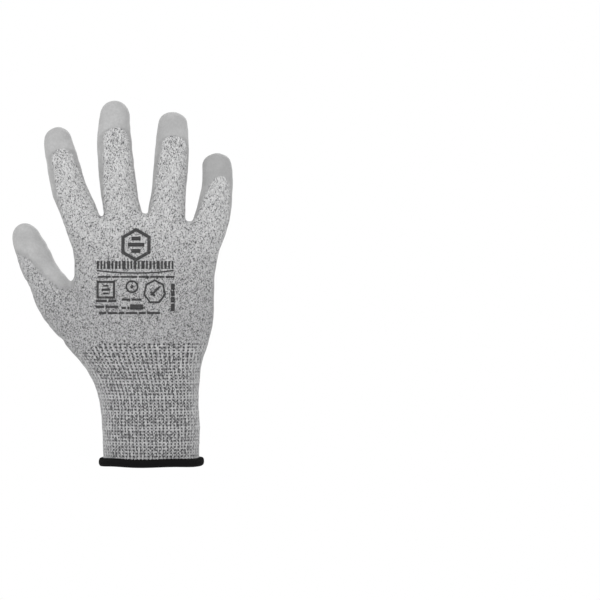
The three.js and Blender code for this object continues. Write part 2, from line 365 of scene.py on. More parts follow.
def makeForm():
    bm = bmesh.new()
    addRings(bm, handRings(), handForm["sides"])
    for vert in bm.verts:
        # the webs between the fingers lie at different heights
        share = smoothStep(vert.co.z, webDrop["from"], webDrop["to"])
        lift = webDrop["lift"] * hump(vert.co.x, webDrop["liftAt"], webDrop["liftWidth"])
        drop = webDrop["drop"] * smoothStep(vert.co.x, webDrop["dropFrom"], webDrop["dropTo"])
        vert.co.z += share * (lift - drop)
    addRings(bm, ballRings(), handForm["ballSides"])
    for form in fingerForms.values():
        addRings(bm, fingerRings(form), handForm["fingerSides"])
    bmesh.ops.recalc_face_normals(bm, faces=bm.faces)
    form = objectFrom(bm, "form")
    remesh = form.modifiers.new("remesh", "REMESH")
    remesh.mode = "VOXEL"
    remesh.voxel_size = handForm["voxel"]
    applyModifiers(form)
    bm = bmesh.new()
    bm.from_mesh(form.data)
    axes = {"use_axis_x": True, "use_axis_y": True, "use_axis_z": True}
    for _ in range(handForm["smoothing"]):
        bmesh.ops.smooth_vert(bm, verts=bm.verts, factor=0.5, **axes)
    whole = bm.verts[:] + bm.edges[:] + bm.faces[:]
    mouth = (0, 0, handForm["trimBelow"])
    bmesh.ops.bisect_plane(bm, geom=whole, plane_co=mouth, plane_no=(0, 0, 1), clear_inner=True)
    bm.to_mesh(form.data)
    bm.free()
    print("form", len(form.data.polygons), "faces")
    return form


# where each finger lies and bends
bends = {name: ["mcp", "pip", "dip"] for name in ("index", "middle", "ring", "little")}
bends["thumb"] = ["mcp", "ip"]
# a finger's first piece starts this far below its hinge, and the last one ends past the tip
startBelow = {"index": 7, "middle": 7, "ring": 7, "little": 6, "thumb": 6}
pastTip = 200
reachAcross = 16.5  # cloth within this distance of a finger's middle line belongs to the finger


class FingerFrame:
    def __init__(self, name):
        own = [joints[f"{name}_{bend}_bend"] for bend in bends[name]]
        hinges = [np.array(joint["pos_m"]) / mm for joint in own]
        self.name = name
        self.origin = hinges[0]
        self.along = (hinges[1] - hinges[0]) / np.linalg.norm(hinges[1] - hinges[0])
        self.across = -np.array(own[0]["axis"])
        self.pad = np.cross(self.along, self.across)
        self.hinges = [float((hinge - self.origin) @ self.along) for hinge in hinges]
        self.bodies = [joint["child"] for joint in own]
        middles = [(low + high) / 2 for low, high in zip(self.hinges, self.hinges[1:])]
        self.cuts = [-startBelow[name], *middles, pastTip]
        centres = [ring.translation for ring in fingerRings(fingerForms[name])]
        self.middleLine = self.local(np.array(centres))

    def local(self, points):
        rel = points - self.origin
        return rel @ self.across, rel @ self.pad, rel @ self.along

    def fromMiddle(self, points):
        # as local, but across and pad are measured from the cloth's own middle line
        x, y, s = self.local(points)
        middleX, middleY, middleS = self.middleLine
        return x - np.interp(s, middleS, middleX), y - np.interp(s, middleS, middleY), s

    def point(self, s):
        return (self.origin + self.along * s) * mm


fingerFrames = {name: FingerFrame(name) for name in bends}
sectionTable = np.array(handForm["sections"], float)


def handColumns(z, *columns):
    # the hand's sizes at these heights
    return (np.interp(z, sectionTable[:, 0], sectionTable[:, c]) for c in columns)


def handLocal(points):
    # place across and deep in the hand's oval, as shares of its half sizes, and the half sizes
    left, right, depth, back = handColumns(points[:, 2], 1, 2, 3, 4)
    across = (points[:, 0] - (left + right) / 2) / ((right - left) / 2)
    deep = (points[:, 1] - back) / depth
    return across, deep, (right - left) / 2, depth


ribEdge = {"height": 87.5, "dip": 9.5, "from": 32, "to": 58}  # the rib ends lower below the thumb


def zonesOf(points):
    # 0 is the cuff, 1 the hand, and then the fingers' pieces in order
    dip = ribEdge["dip"] * smoothStep(-points[:, 0], ribEdge["from"], ribEdge["to"])
    edge = ribEdge["height"] - dip
    zone = np.where(points[:, 2] < edge, 0, 1)
    best = np.full(len(points), reachAcross)
    number = 2
    for finger in fingerFrames.values():
        x, y, s = finger.fromMiddle(points)
        r = np.hypot(x, y)
        near = (s > finger.cuts[0]) & (r < best)
        best[near] = r[near]
        for low, high in zip(finger.cuts, finger.cuts[1:]):
            zone[near & (s >= low) & (s < high)] = number
            number += 1
    return zone


pieceNames = ["cuffRib", "handKnit"]
for finger in fingerFrames.values():
    pieceNames += [body + "Knit" for body in finger.bodies]

# creases, folds and the coating's edge
rng = np.random.default_rng(7)


def waves(points, size, count=14):
    # a soft random field made of sine waves about this long
    total = np.zeros(len(points))
    for _ in range(count):
        way = rng.normal(size=3)
        way *= 2 * np.pi / (size * rng.uniform(0.7, 1.5)) / np.linalg.norm(way)
        total += np.sin(points @ way + rng.uniform(0, 6.28))
    return total / math.sqrt(count)


folds = {
    "cloudy": 0.45, "cloudySize": 34, "small": 0.16, "smallSize": 11, "rippleSize": 7,
    "padCrease": 0.8, "thumbCrease": 0.3, "creaseWidth": 1.7, "bulgeAt": 4, "bulgeWidth": 2.2,
    "backCrease": 0.28, "backAt": 2.4, "backWidth": 1.2, "rim": 0.45, "rimAt": 1.6,
}
# long soft folds: ends (x, z), depth, half width and side (1 palm, -1 back)
longFolds = [
    ((-62, 106), (-36, 134), 1.9, 4.6, 1), ((-54, 94), (-22, 124), 1.2, 5.0, 1),
    ((46, 100), (16, 126), 1.6, 5.0, 1), ((48, 92), (26, 100), 0.9, 4.0, 1),
    ((-52, 170), (40, 164), 1.0, 4.5, 1), ((-30, 146), (42, 151), 0.8, 5.0, 1),
    ((52, 170), (36, 161), 0.8, 2.2, 1), ((52, 163), (33, 153), 0.9, 2.4, 1),
    ((51, 155), (36, 147), 0.7, 2.2, 1),
    ((-76, 132), (-60, 122), 0.7, 2.4, 1), ((-70, 118), (-54, 112), 0.6, 2.6, 1),
    ((-56, 128), (-46, 108), 0.9, 4.0, -1), ((-60, 100), (-44, 92), 0.7, 5.0, -1),
    ((-34, 176), (-30, 156), 0.8, 3.5, -1), ((-5, 177), (-5, 158), 0.8, 3.5, -1),
    ((27, 172), (24, 154), 0.8, 3.5, -1), ((44, 150), (36, 120), 0.5, 6.0, -1),
    ((38, 84), (30, 60), 0.5, 5.0, -1), ((-50, 80), (-30, 62), 0.6, 5.0, -1),
]


def fingerCoordinates(points):
    # for each point the finger it is nearest to and its place along and round it
    chosen = np.full(len(points), -1)
    best = np.full(len(points), reachAcross)
    local = np.zeros((len(points), 3))
    for i, finger in enumerate(fingerFrames.values()):
        x, y, s = finger.local(points)
        r = np.hypot(*finger.fromMiddle(points)[:2])
        near = (s > finger.cuts[0] - 2) & (r < best)
        best[near] = r[near]
        chosen[near] = i
        local[near] = np.stack([x, y, s], axis=1)[near]
    return chosen, local


def sculpt(mesh):
    points = places(mesh)
    facing = normals(mesh)
    move = folds["cloudy"] * waves(points, folds["cloudySize"])
    move = move + folds["small"] * waves(points, folds["smallSize"])
    for (x0, z0), (x1, z1), depth, width, side in longFolds:
        way = np.array([x1 - x0, z1 - z0], float)
        length = np.linalg.norm(way)
        way /= length
        rel = points[:, [0, 2]] - (x0, z0)
        along = rel @ way
        off = rel @ np.array([-way[1], way[0]]) + 1.5 * np.sin(along / length * 5)
        ends = smoothStep(along, -width, width)
        ends = ends * (1 - smoothStep(along, length - width, length + width))
        facingSide = smoothStep(facing[:, 1] * side, 0.1, 0.6)
        rim = folds["rim"] * hump(off, folds["rimAt"] * width, width)
        move -= depth * ends * facingSide * (hump(off, 0, width) - rim)
    chosen, local = fingerCoordinates(points)
    ripple = waves(points, folds["rippleSize"])
    for i, finger in enumerate(fingerFrames.values()):
        mask = chosen == i
        x, _, s = local.T
        padSide = smoothStep(facing @ finger.pad, -0.2, 0.7)
        backSide = smoothStep(-(facing @ finger.pad), 0.0, 0.7)
        for hinge in finger.hinges:
            bent = s + 0.9 * np.sin(x * 0.35 + i)
            crease = hump(bent, hinge, folds["creaseWidth"])
            for place in (hinge + folds["bulgeAt"], hinge - folds["bulgeAt"]):
                crease = crease - 0.5 * hump(bent, place, folds["bulgeWidth"])
            depth = folds["thumbCrease"] if finger.name == "thumb" else folds["padCrease"]
            move -= mask * padSide * depth * crease
            lines = hump(bent, hinge + folds["backAt"], folds["backWidth"])
            lines = lines + hump(bent, hinge - folds["backAt"], folds["backWidth"])
            move -= mask * backSide * folds["backCrease"] * lines * (1 + 0.6 * ripple)
    moved = points + facing * move[:, None]
    mesh.vertices.foreach_set("co", moved.ravel())


# on the back of each finger a window of bare knit is left: coated length at the tip, length of the
# window's round end, and the window's left and right edge at its top and at the finger's root
windows = {
    "index": (16.5, 7, (-0.80, 0.36), (-1.0, 0.86)), "middle": (20.5, 6, (-0.78, 0.62), (-1.05, 0.84)),
    "ring": (18.5, 6, (-0.48, 0.90), (-0.86, 1.05)), "little": (16.5, 9, (-0.02, 0.84), (-0.76, 1.05)),
}
coating = {
    "reach": 10,  # mm over which the coating's share grows from nothing to full
    "film": 0.22,  # mm it stands proud
    "sideLow": 0.16, "sideShare": 0.8,  # how far it comes round the hand's sides
    "cuffEdge": 51, "cuffRise": 11,  # its lower edge on the palm, and how much higher it is at the sides
    "fingerLow": 0.14, "fingerWidths": (13, 11, 9.5), "past": 9,
    # painted shade: the coating's share is held lower on some fingers, which paints their film darker (the
    # little finger's tip bends away from the light)
    "share": {"index": 1.0, "middle": 1.0, "ring": 0.95, "little": 0.72, "thumb": 1.0},
    # its edge on the back of the thumb, from the outer side to the web, and how far it goes in
    "thumbEdge": [
        (-100, 152.5), (-95, 150), (-88, 147.2), (-83.4, 142.3), (-77.5, 135.6), (-71, 129.6),
        (-64.5, 124.6), (-58.5, 124.2), (-55, 130), (-52, 140),
    ],
    "thumbInner": [(100, -50), (128, -50), (134, -60), (178, -70)],
    "thumbMiddle": (-73, 3.5, 125), "thumbSlope": 0.75,
}


def coatOf(points):
    across, deep, _, depth = handLocal(points)
    jitter = 0.4 * waves(points, 4) + 0.3 * waves(points, 2)
    z = points[:, 2]
    # distances in mm from the coating's edge, positive where coated
    side = (deep + coating["sideLow"]) * depth * coating["sideShare"]
    rise = coating["cuffRise"] * np.clip(np.abs(across) / 0.95, 0, 1) ** 2.2
    coat = np.minimum(side, z - (coating["cuffEdge"] + rise))
    chosen, local = fingerCoordinates(points)
    for i, finger in enumerate(fingerFrames.values()):
        if finger.name == "thumb":
            continue
        mask = chosen == i
        x, y, s = local[mask].T
        width = np.interp(s, [-10, finger.hinges[-1], finger.hinges[-1] + 16], coating["fingerWidths"])
        length, cap, top, root = windows[finger.name]
        end = tipOf[finger.name] - length
        up = np.clip((s + 8) / (end + 8), 0, 1)
        low, high = (root[k] + (top[k] - root[k]) * up**1.3 for k in (0, 1))
        shrink = np.sqrt(np.clip(1 - np.clip((s - (end - cap)) / cap, 0, 1) ** 2, 0, 1))
        window = (np.abs(x / width - (low + high) / 2) - (high - low) / 2 * shrink) * width
        window = np.where(s > end, coating["past"], np.maximum(window, s - end))
        fromPad = y + coating["fingerLow"] * width * fingerDepth
        coat[mask] = np.maximum(fromPad, window)
    # the thumb: on the back the film ends on a slanting line
    thumb = fingerFrames["thumb"]
    edge = np.array(coating["thumbEdge"])
    inner = np.array(coating["thumbInner"])
    height = np.interp(points[:, 0], edge[:, 0], edge[:, 1])
    above = (z - height) * coating["thumbSlope"]
    web = np.interp(z, inner[:, 0], inner[:, 1])
    near = (points[:, 0] < web) & (z > inner[0, 0]) & (z < inner[-1, 0]) & (chosen != 0)
    pad = (points - coating["thumbMiddle"]) @ thumb.pad + 3
    coat = np.where(near, np.maximum(above, np.minimum(pad, points[:, 1] + 5)), coat)
    share = np.clip(0.5 + (coat + jitter) / coating["reach"], 0, 1)
    # painted shade: along the ring and little fingers the share is capped, which darkens their film
    for i, name in enumerate(fingerFrames):
        along = smoothStep(local[:, 2], 8, 20) * (chosen == i)
        most = 1 - (1 - coating["share"][name]) * along
        share = np.where(share > 0.5, np.minimum(share, most), share)
    return share


# knit coordinates: wales round, courses along
knit = {
    "cuffWales": 65, "cuffCourse": 2.2, "wale": 1.15, "handCourse": 0.6, "fingerWales": 76, "course": 0.67,
    "middle": -3, "middleWidth": 12,  # the wales at the hand's middle run straight up
    # relief of the rib: depth of a hole between ribs, of a groove, and height of the elastic rows
    "hole": 0.38, "groove": 0.16, "elastic": 0.22, "elasticRows": 5,
}
arcAngles = np.linspace(0, 2 * np.pi, 721)


def arcShare(across, deep, half, depth):
    # share of the oval's outline from its +X end to the point, from a table for each shape of oval
    angle = np.arctan2(deep, across) % (2 * np.pi)
    ratios = np.linspace(0.2, 0.8, 13)
    tables = []
    for ratio in ratios:
        steps = np.hypot(np.sin(arcAngles), ratio * np.cos(arcAngles))
        total = np.concatenate([[0], np.cumsum((steps[1:] + steps[:-1]) / 2)])
        tables.append(np.interp(angle, arcAngles, total / total[-1]))
    place = np.clip((depth / half - 0.2) / 0.05, 0, 11.999)
    low = place.astype(int)
    tables = np.array(tables)
    rows = np.arange(len(angle))
    return tables[low, rows] * (1 - (place - low)) + tables[low + 1, rows] * (place - low)


def handCoordinates(points):
    # wales run up the hand, and their count follows the surface round to each side
    z = points[:, 2]
    depth, back = handColumns(z, 3, 4)
    inset = np.clip(depth - np.abs(points[:, 1] - back), 0, None)
    sideways = points[:, 0] - knit["middle"]
    across = sideways + np.tanh(sideways / knit["middleWidth"]) * inset**2 / (2 * depth)
    return across / knit["wale"], z / knit["handCourse"]


def knitCoordinates(points, zone):
    u = np.zeros(len(points))
    v = np.zeros(len(points))
    count = np.full(len(points), 1e6)
    cuff = zone == 0
    hand = zone == 1
    u[cuff] = arcShare(*handLocal(points[cuff])) * knit["cuffWales"]
    v[cuff] = points[cuff, 2] / knit["cuffCourse"]
    count[cuff] = knit["cuffWales"]
    u[hand], v[hand] = handCoordinates(points[hand])
    number = 2
    for finger in fingerFrames.values():
        mask = (zone >= number) & (zone < number + len(finger.bodies))
        x, y, s = finger.fromMiddle(points[mask])
        u[mask] = (np.arctan2(y / fingerDepth, x) / (2 * np.pi) % 1) * knit["fingerWales"]
        v[mask] = s / knit["course"]
        count[mask] = knit["fingerWales"]
        number += len(finger.bodies)
    return u, v, count


def ribRelief(u, v):
    hole = np.exp(-(((u % 1) - 0.5) / 0.2) ** 2 - (((v % 1) - 0.5) / 0.3) ** 2)
    wale = 0.5 - 0.5 * np.cos(2 * np.pi * u)
    elastic = hump(v % knit["elasticRows"], knit["elasticRows"] / 2, 0.55)
    return -knit["hole"] * hole - knit["groove"] * wale + knit["elastic"] * elastic


tipOf = {}
for name, form in fingerForms.items():
    _, _, along = fingerFrames[name].local(np.array([[form["tip"][0], 3.0, form["tip"][1]]]))
    tipOf[name] = float(along[0])


def makeSkin(form):
    # the fine skin: creases, a denser mesh, knit coordinates, the coating's share and the rib's relief
    sculpt(form.data)
    dense = form.modifiers.new("dense", "SUBSURF")
    dense.levels = dense.render_levels = 1
    applyModifiers(form)
    mesh = form.data
    print("skin", len(mesh.polygons), "faces")
    points = places(mesh)
    coat = coatOf(points)
    mesh.attributes.new("coat", "FLOAT", "POINT").data.foreach_set("value", coat.astype(np.float32))
    # side marks the hand's sides, where the rib material paints the rib paler and its painted hole shade
    # fainter
    side = smoothStep(np.abs(handLocal(points)[0]), 0.7, 1)
    mesh.attributes.new("side", "FLOAT", "POINT").data.foreach_set("value", side.astype(np.float32))
    corners = np.empty(len(mesh.loops), dtype=np.int32)
    mesh.loops.foreach_get("vertex_index", corners)
    starts = np.empty(len(mesh.polygons), dtype=np.int32)
    totals = np.empty(len(mesh.polygons), dtype=np.int32)
    mesh.polygons.foreach_get("loop_start", starts)
    mesh.polygons.foreach_get("loop_total", totals)
    faceOf = np.repeat(np.arange(len(totals)), totals)
    centres = np.zeros((len(totals), 3))
    np.add.at(centres, faceOf, points[corners])
    centres /= totals[:, None]
    zone = zonesOf(centres)
    mesh.polygons.foreach_set("material_index", zone.astype(np.int32))
    u, v, count = knitCoordinates(points[corners], zone[faceOf])
    highest = np.maximum.reduceat(u, starts)[faceOf]
    u = np.where(highest - u > count / 2, u + count, u)
    mesh.uv_layers.new(name="knit").data.foreach_set("uv", np.stack([u, v], axis=1).ravel())
    # relief of the rib and the film's thickness
    facing = normals(mesh)
    pu, pv, _ = knitCoordinates(points, np.zeros(len(points)))
    inCuff = np.zeros(len(points))
    inCuff[corners[zone[faceOf] == 0]] = 1
    film = smoothStep(coat, 0.45, 0.6)
    move = inCuff * ribRelief(pu, pv) * (1 - 0.6 * film) + coating["film"] * film
    mesh.vertices.foreach_set("co", ((points + facing * move[:, None]) * mm).ravel())
    return form


def splitSkin(form):
    # one object for each zone, from the same skin, so that their edges meet
    for name in pieceNames:
        form.data.materials.append(bpy.data.materials.new(name))
    bpy.ops.object.select_all(action="DESELECT")
    form.select_set(True)
    bpy.context.view_layer.objects.active = form
    bpy.ops.object.mode_set(mode="EDIT")
    bpy.ops.mesh.select_all(action="SELECT")
    bpy.ops.mesh.separate(type="MATERIAL")
    bpy.ops.object.mode_set(mode="OBJECT")
    found = {}
    for piece in list(bpy.context.selected_objects):
        mesh = piece.data
        name = mesh.materials[mesh.polygons[0].material_index].name
        piece.name = mesh.name = name
        found[name] = piece
    for name in pieceNames:
        mesh = found[name].data
        mesh.materials.clear()
        mesh.polygons.foreach_set("material_index", np.zeros(len(mesh.polygons), dtype=np.int32))
    for name in pieceNames:
        bpy.data.materials.remove(bpy.data.materials[name])
    return found


cloth = {"thickness": 1.0, "sharpFrom": 62}  # mm, and the angle from which an edge is shaded sharp


def giveThickness(piece):
    solid = piece.modifiers.new("thickness", "SOLIDIFY")
    solid.thickness = cloth["thickness"] * mm
    solid.offset = -1
    applyModifiers(piece)
    bm = bmesh.new()
    bm.from_mesh(piece.data)
    for face in bm.faces:
        face.smooth = True
    for edge in bm.edges:
        edge.smooth = edge.calc_face_angle(3.0) < math.radians(cloth["sharpFrom"])
    bm.to_mesh(piece.data)
    bm.free()


# materials
knitTones = {
    "stops": [(0.0, (0.045, 0.045, 0.047)), (0.17, (0.09, 0.09, 0.093)), (0.25, (0.35, 0.35, 0.354)),
              (0.65, (0.49, 0.49, 0.493)), (1.0, (0.66, 0.66, 0.66))],
    # the groove tone is painted shade between the yarn's legs; the last tone on this line is painted shade
    # in the knit's hollows under the film
    "groove": (0.55, 0.55, 0.55), "coat": (0.42, 0.42, 0.421), "pitShadeAndSpeckle": (0.5, 0.5, 0.5),
    # the rim tone is painted shade along the coating's edge, and also the dark of the film's random mottle
    "rim": (0.27, 0.27, 0.27), "cloudLow": 0.88, "cloudHigh": 1.06,
    # painted light: the knit is painted darker towards the wrist and paler up the fingers, a height ramp
    # for how the light falls: heights in m, and the tone there
    "low": 0.085, "high": 0.21, "wristShadeTone": (0.75, 0.75, 0.755), "fingerLightTone": (1.05, 1.05, 1.05),
    "fewerFlecks": 0.05,
}
ribTones = {
    "stops": [(0.0, (0.07, 0.07, 0.073)), (0.24, (0.15, 0.15, 0.154)), (0.45, (0.33, 0.33, 0.334)),
              (1.0, (0.53, 0.53, 0.533))],
    # the groove tone is painted shade between the stitches, and the hole tone is painted shade for the dark
    # inside seen through the holes
    "elastic": (0.56, 0.56, 0.565), "groove": (0.1, 0.1, 0.104), "hole": (0.018, 0.018, 0.02),
    # the coatedHole tone is painted shade in the coated holes and grooves and along the coating's edge
    "coat": (0.34, 0.34, 0.341), "coatedHole": (0.13, 0.13, 0.13),
    "sideHoles": 0.6, "side": (0.5, 0.5, 0.503),  # painted light: at the sides the painted hole shade is fainter and the yarn is painted paler
}
clothShine = {"Specular IOR Level": 0.3, "Sheen Weight": 0.1, "Sheen Roughness": 0.6}
clothRoughness = {"yarn": 0.92, "coat": 0.6}


def roughnessOf(m, coat):
    values = {0: coat, 2: clothRoughness["yarn"], 3: clothRoughness["coat"]}
    return m.node("ShaderNodeMix", {"data_type": "FLOAT"}, values)


def knitPlace(m):
    uv = m.node("ShaderNodeUVMap", {"uv_map": "knit"}, {})
    return m.node("ShaderNodeSeparateXYZ", {}, [uv], 0), m.node("ShaderNodeSeparateXYZ", {}, [uv], 1)


def coatShare(m, place):
    # how much of the coating covers the yarn, and how thin it is towards its edge; that second value also
    # drives painted shade along the coating's edge
    coarse = m.node("ShaderNodeTexNoise", {}, {"Vector": place, "Scale": 330.0, "Detail": 2.0})
    share = m.attribute("coat") + (coarse - 0.5) * 0.07
    return share.smooth(0.47, 0.55), 1 - share.smooth(0.5, 0.95)


def stitches(m, u, v, seed):
    # two slanting legs to a wale: how high the yarn stands, a random number for each leg, and the
    # line between wales
    leg = abs(u.fract() - 0.5) * 2
    row = v + leg * 0.85
    key = m.node("ShaderNodeCombineXYZ", {}, [(u * 2).floor(), row.floor(), seed])
    chance = m.node("ShaderNodeTexWhiteNoise", {"noise_dimensions": "3D"}, [key])
    across = leg * 2 - 1
    down = row.fract() * 2 - 1
    return (1 - across * across) * 0.55 + (1 - down * down) * 0.45, chance, leg.power(5.0)


def knitMaterial():
    m = Material("greyKnitAndCoating")
    u, v = knitPlace(m)
    stitch, chance, line = stitches(m, u, v, 0.0)
    place = m.node("ShaderNodeTexCoord", {}, {}, "Object")
    height = m.node("ShaderNodeSeparateXYZ", {}, [place], 2)
    # painted light: upHand rises with height; it paints the knit darker towards the wrist and paler up the
    # fingers, and leaves fewer dark flecks higher up
    upHand = height.smooth(knitTones["low"], knitTones["high"])
    fleck = chance + upHand * knitTones["fewerFlecks"]
    tone = m.node("ShaderNodeValToRGB", {"stops": knitTones["stops"]}, [fleck])
    cloud = m.node("ShaderNodeTexNoise", {}, {"Vector": place, "Scale": 60.0, "Detail": 2.0})
    fine = m.node("ShaderNodeTexNoise", {}, {"Vector": place, "Scale": 1500.0, "Detail": 3.0})
    grain = m.node("ShaderNodeTexNoise", {}, {"Vector": place, "Scale": 620.0, "Detail": 2.0})
    coat, thinFilmAndEdgeShade = coatShare(m, place)
    # painted shade in the grooves between the yarn's legs
    grooveShade = m.mix((1 - stitch).power(2.0) * 0.6, (1, 1, 1), knitTones["groove"])
    # painted light: the yarn is darkened towards the wrist and made paler up the fingers by height
    yarn = m.times(m.times(tone, grooveShade), m.mix(upHand, knitTones["wristShadeTone"], knitTones["fingerLightTone"]))
    darker = [c * knitTones["cloudLow"] for c in knitTones["coat"]]
    paler = [c * knitTones["cloudHigh"] for c in knitTones["coat"]]
    film = m.mix(cloud.smooth(0.3, 0.7), darker, paler)
    film = m.mix(grain.smooth(0.35, 0.65) * 0.22, film, knitTones["rim"])
    # painted shade along the coating's edge, where it runs down the fingers' sides
    film = m.mix(thinFilmAndEdgeShade * 0.75, film, knitTones["rim"])
    # painted shade under the film: darker in the knit's hollows and along the lines between wales, more so
    # towards the coating's edge, with a little random speckle
    pitShadeAndSpeckle = (1 - stitch) * (0.3 + thinFilmAndEdgeShade * 0.3) + line * (0.1 + thinFilmAndEdgeShade * 0.3) + (chance - 0.5) * 0.12
    film = m.times(film, m.mix(pitShadeAndSpeckle, (1, 1, 1), knitTones["pitShadeAndSpeckle"]))
    film = m.mix(thinFilmAndEdgeShade.power(3.0) * 0.45, film, yarn)
    body = m.mix(coat, yarn, film)
    relief = stitch * (1 - coat * 0.78) + fine * 0.25 * coat + coat * 0.3
    bump = m.node("ShaderNodeBump", {}, {"Strength": 0.7, "Distance": 0.00028, "Height": relief})
    return m.finish(body, roughnessOf(m, coat), bump, clothShine)


def ribMaterial():
    m = Material("greyRib")
    u, v = knitPlace(m)
    du = (u.fract() - 0.5) / 0.25
    dv = (v.fract() - 0.5) / 0.33
    hole = 1 - (du * du + dv * dv).smooth(0.3, 1.3)
    stitch, chance, _ = stitches(m, u * 2, v * 2, 3.0)
    tone = m.node("ShaderNodeValToRGB", {"stops": ribTones["stops"]}, [chance])
    elastic = 1 - abs((v / knit["elasticRows"]).fract() - 0.5).smooth(0.04, 0.14)
    side = m.attribute("side")
    tone = m.mix(elastic * 0.4, tone, ribTones["elastic"])
    # painted light: the rib's sides are painted paler
    tone = m.mix(side * 0.3, tone, ribTones["side"])
    # painted shade in the grooves between the rib's stitches
    tone = m.mix((1 - stitch) * 0.5, tone, ribTones["groove"])
    # painted shade: the holes are painted near black for the dark inside seen through them, fainter at the
    # rib's sides
    hole = hole * (1 - side * ribTones["sideHoles"])
    tone = m.mix(hole * 0.97, tone, ribTones["hole"])
    place = m.node("ShaderNodeTexCoord", {}, {}, "Object")
    coat, thinFilmAndEdgeShade = coatShare(m, place)
    shade = hole * 0.42 + (1 - stitch) * 0.2 + thinFilmAndEdgeShade * 0.3
    film = m.mix(shade, ribTones["coat"], ribTones["coatedHole"])
    tone = m.mix(coat, tone, film)
    relief = stitch * (1 - coat * 0.7) * 0.5 + elastic * 0.4 - hole * (1 - coat * 0.6)
    bump = m.node("ShaderNodeBump", {}, {"Strength": 0.7, "Distance": 0.0004, "Height": relief})
    return m.finish(tone, roughnessOf(m, coat), bump, clothShine)


threadTones = {"low": (0.001, 0.001, 0.001), "high": (0.008, 0.008, 0.008), "roughness": 0.75}
threadShine = {"Specular IOR Level": 0.06, "Sheen Weight": 0.01}


def threadMaterial():
    m = Material("blackThread")
    place = m.node("ShaderNodeTexCoord", {}, {}, "Object")
    fine = m.node("ShaderNodeTexNoise", {}, {"Vector": place, "Scale": 1800.0, "Detail": 2.0})
    tone = m.mix(fine, threadTones["low"], threadTones["high"])
    bump = m.node("ShaderNodeBump", {}, {"Strength": 0.5, "Distance": 0.0002, "Height": fine})
    return m.finish(tone, threadTones["roughness"], bump, threadShine)


# the hem
hemSizes = {
    "wraps": 118, "perWrap": 6, "lean": 2.4,  # threads round the edge, steps to each and their lean
    "height": 5.8, "half": 2.3, "sides": 18, "out": 0.7, "thread": 0.42, "waist": 40,
}


def makeHem():
    bm = bmesh.new()
    half, height, waist = hemSizes["half"], hemSizes["height"], hemSizes["waist"]
    bmesh.ops.create_circle(bm, cap_ends=False, radius=1, segments=hemSizes["sides"])
    upright = Matrix.Rotation(math.radians(90), 3, "X")
    bmesh.ops.rotate(bm, verts=bm.verts, cent=(0, 0, 0), matrix=upright)
    bmesh.ops.scale(bm, verts=bm.verts, vec=(half, 1, height / 2))
    for vert in bm.verts:
        # squarer than an oval, flat where it meets the cuff
        vert.co.x = half * math.copysign(abs(vert.co.x / half) ** 0.7, vert.co.x)
    bmesh.ops.translate(bm, verts=bm.verts, vec=(waist, 0, height / 2))
    steps = hemSizes["wraps"] * hemSizes["perWrap"]
    geom = bm.verts[:] + bm.edges[:]
    bmesh.ops.spin(bm, geom=geom, cent=(0, 0, 0), axis=(0, 0, 1), dvec=(0, 0, 0),
                   angle=2 * math.pi, steps=steps, use_merge=True, use_duplicate=False)
    bmesh.ops.remove_doubles(bm, verts=bm.verts, dist=0.001)
    bmesh.ops.recalc_face_normals(bm, faces=bm.faces)
    _, _, right, depth, _ = handForm["sections"][1]
    for vert in bm.verts:
        angle = math.atan2(vert.co.y, vert.co.x)
        out = math.hypot(vert.co.x, vert.co.y) - waist
        rise = vert.co.z / height
        wrap = abs(math.sin((angle * hemSizes["wraps"] + rise * hemSizes["lean"]) / 2))
        swell = hemSizes["thread"] * (wrap - 0.5)
        out = out + hemSizes["out"] + math.copysign(swell, out) + 0.25 * math.sin(angle * 9) * 0.4
        lift = 0.45 * (wrap - 0.4) * (rise > 0.6) * math.copysign(1, rise)
        normal = Vector((math.cos(angle) * depth, math.sin(angle) * right, 0)).normalized()
        base = Vector((math.cos(angle) * right, math.sin(angle) * depth, 0))
        wave = 0.25 * math.sin(angle * 5 + 1)
        vert.co = base + normal * out + Vector((0, 0, vert.co.z + lift + wave))
    bmesh.ops.scale(bm, verts=bm.verts, vec=(mm, mm, mm))
    for face in bm.faces:
        face.smooth = True
    hem = objectFrom(bm, "hemBinding")
    hem.data.materials.append(threadMaterial())
    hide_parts("hem_binding")
    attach(hem, "cuff")
    print("hem", len(hem.data.polygons), "faces")


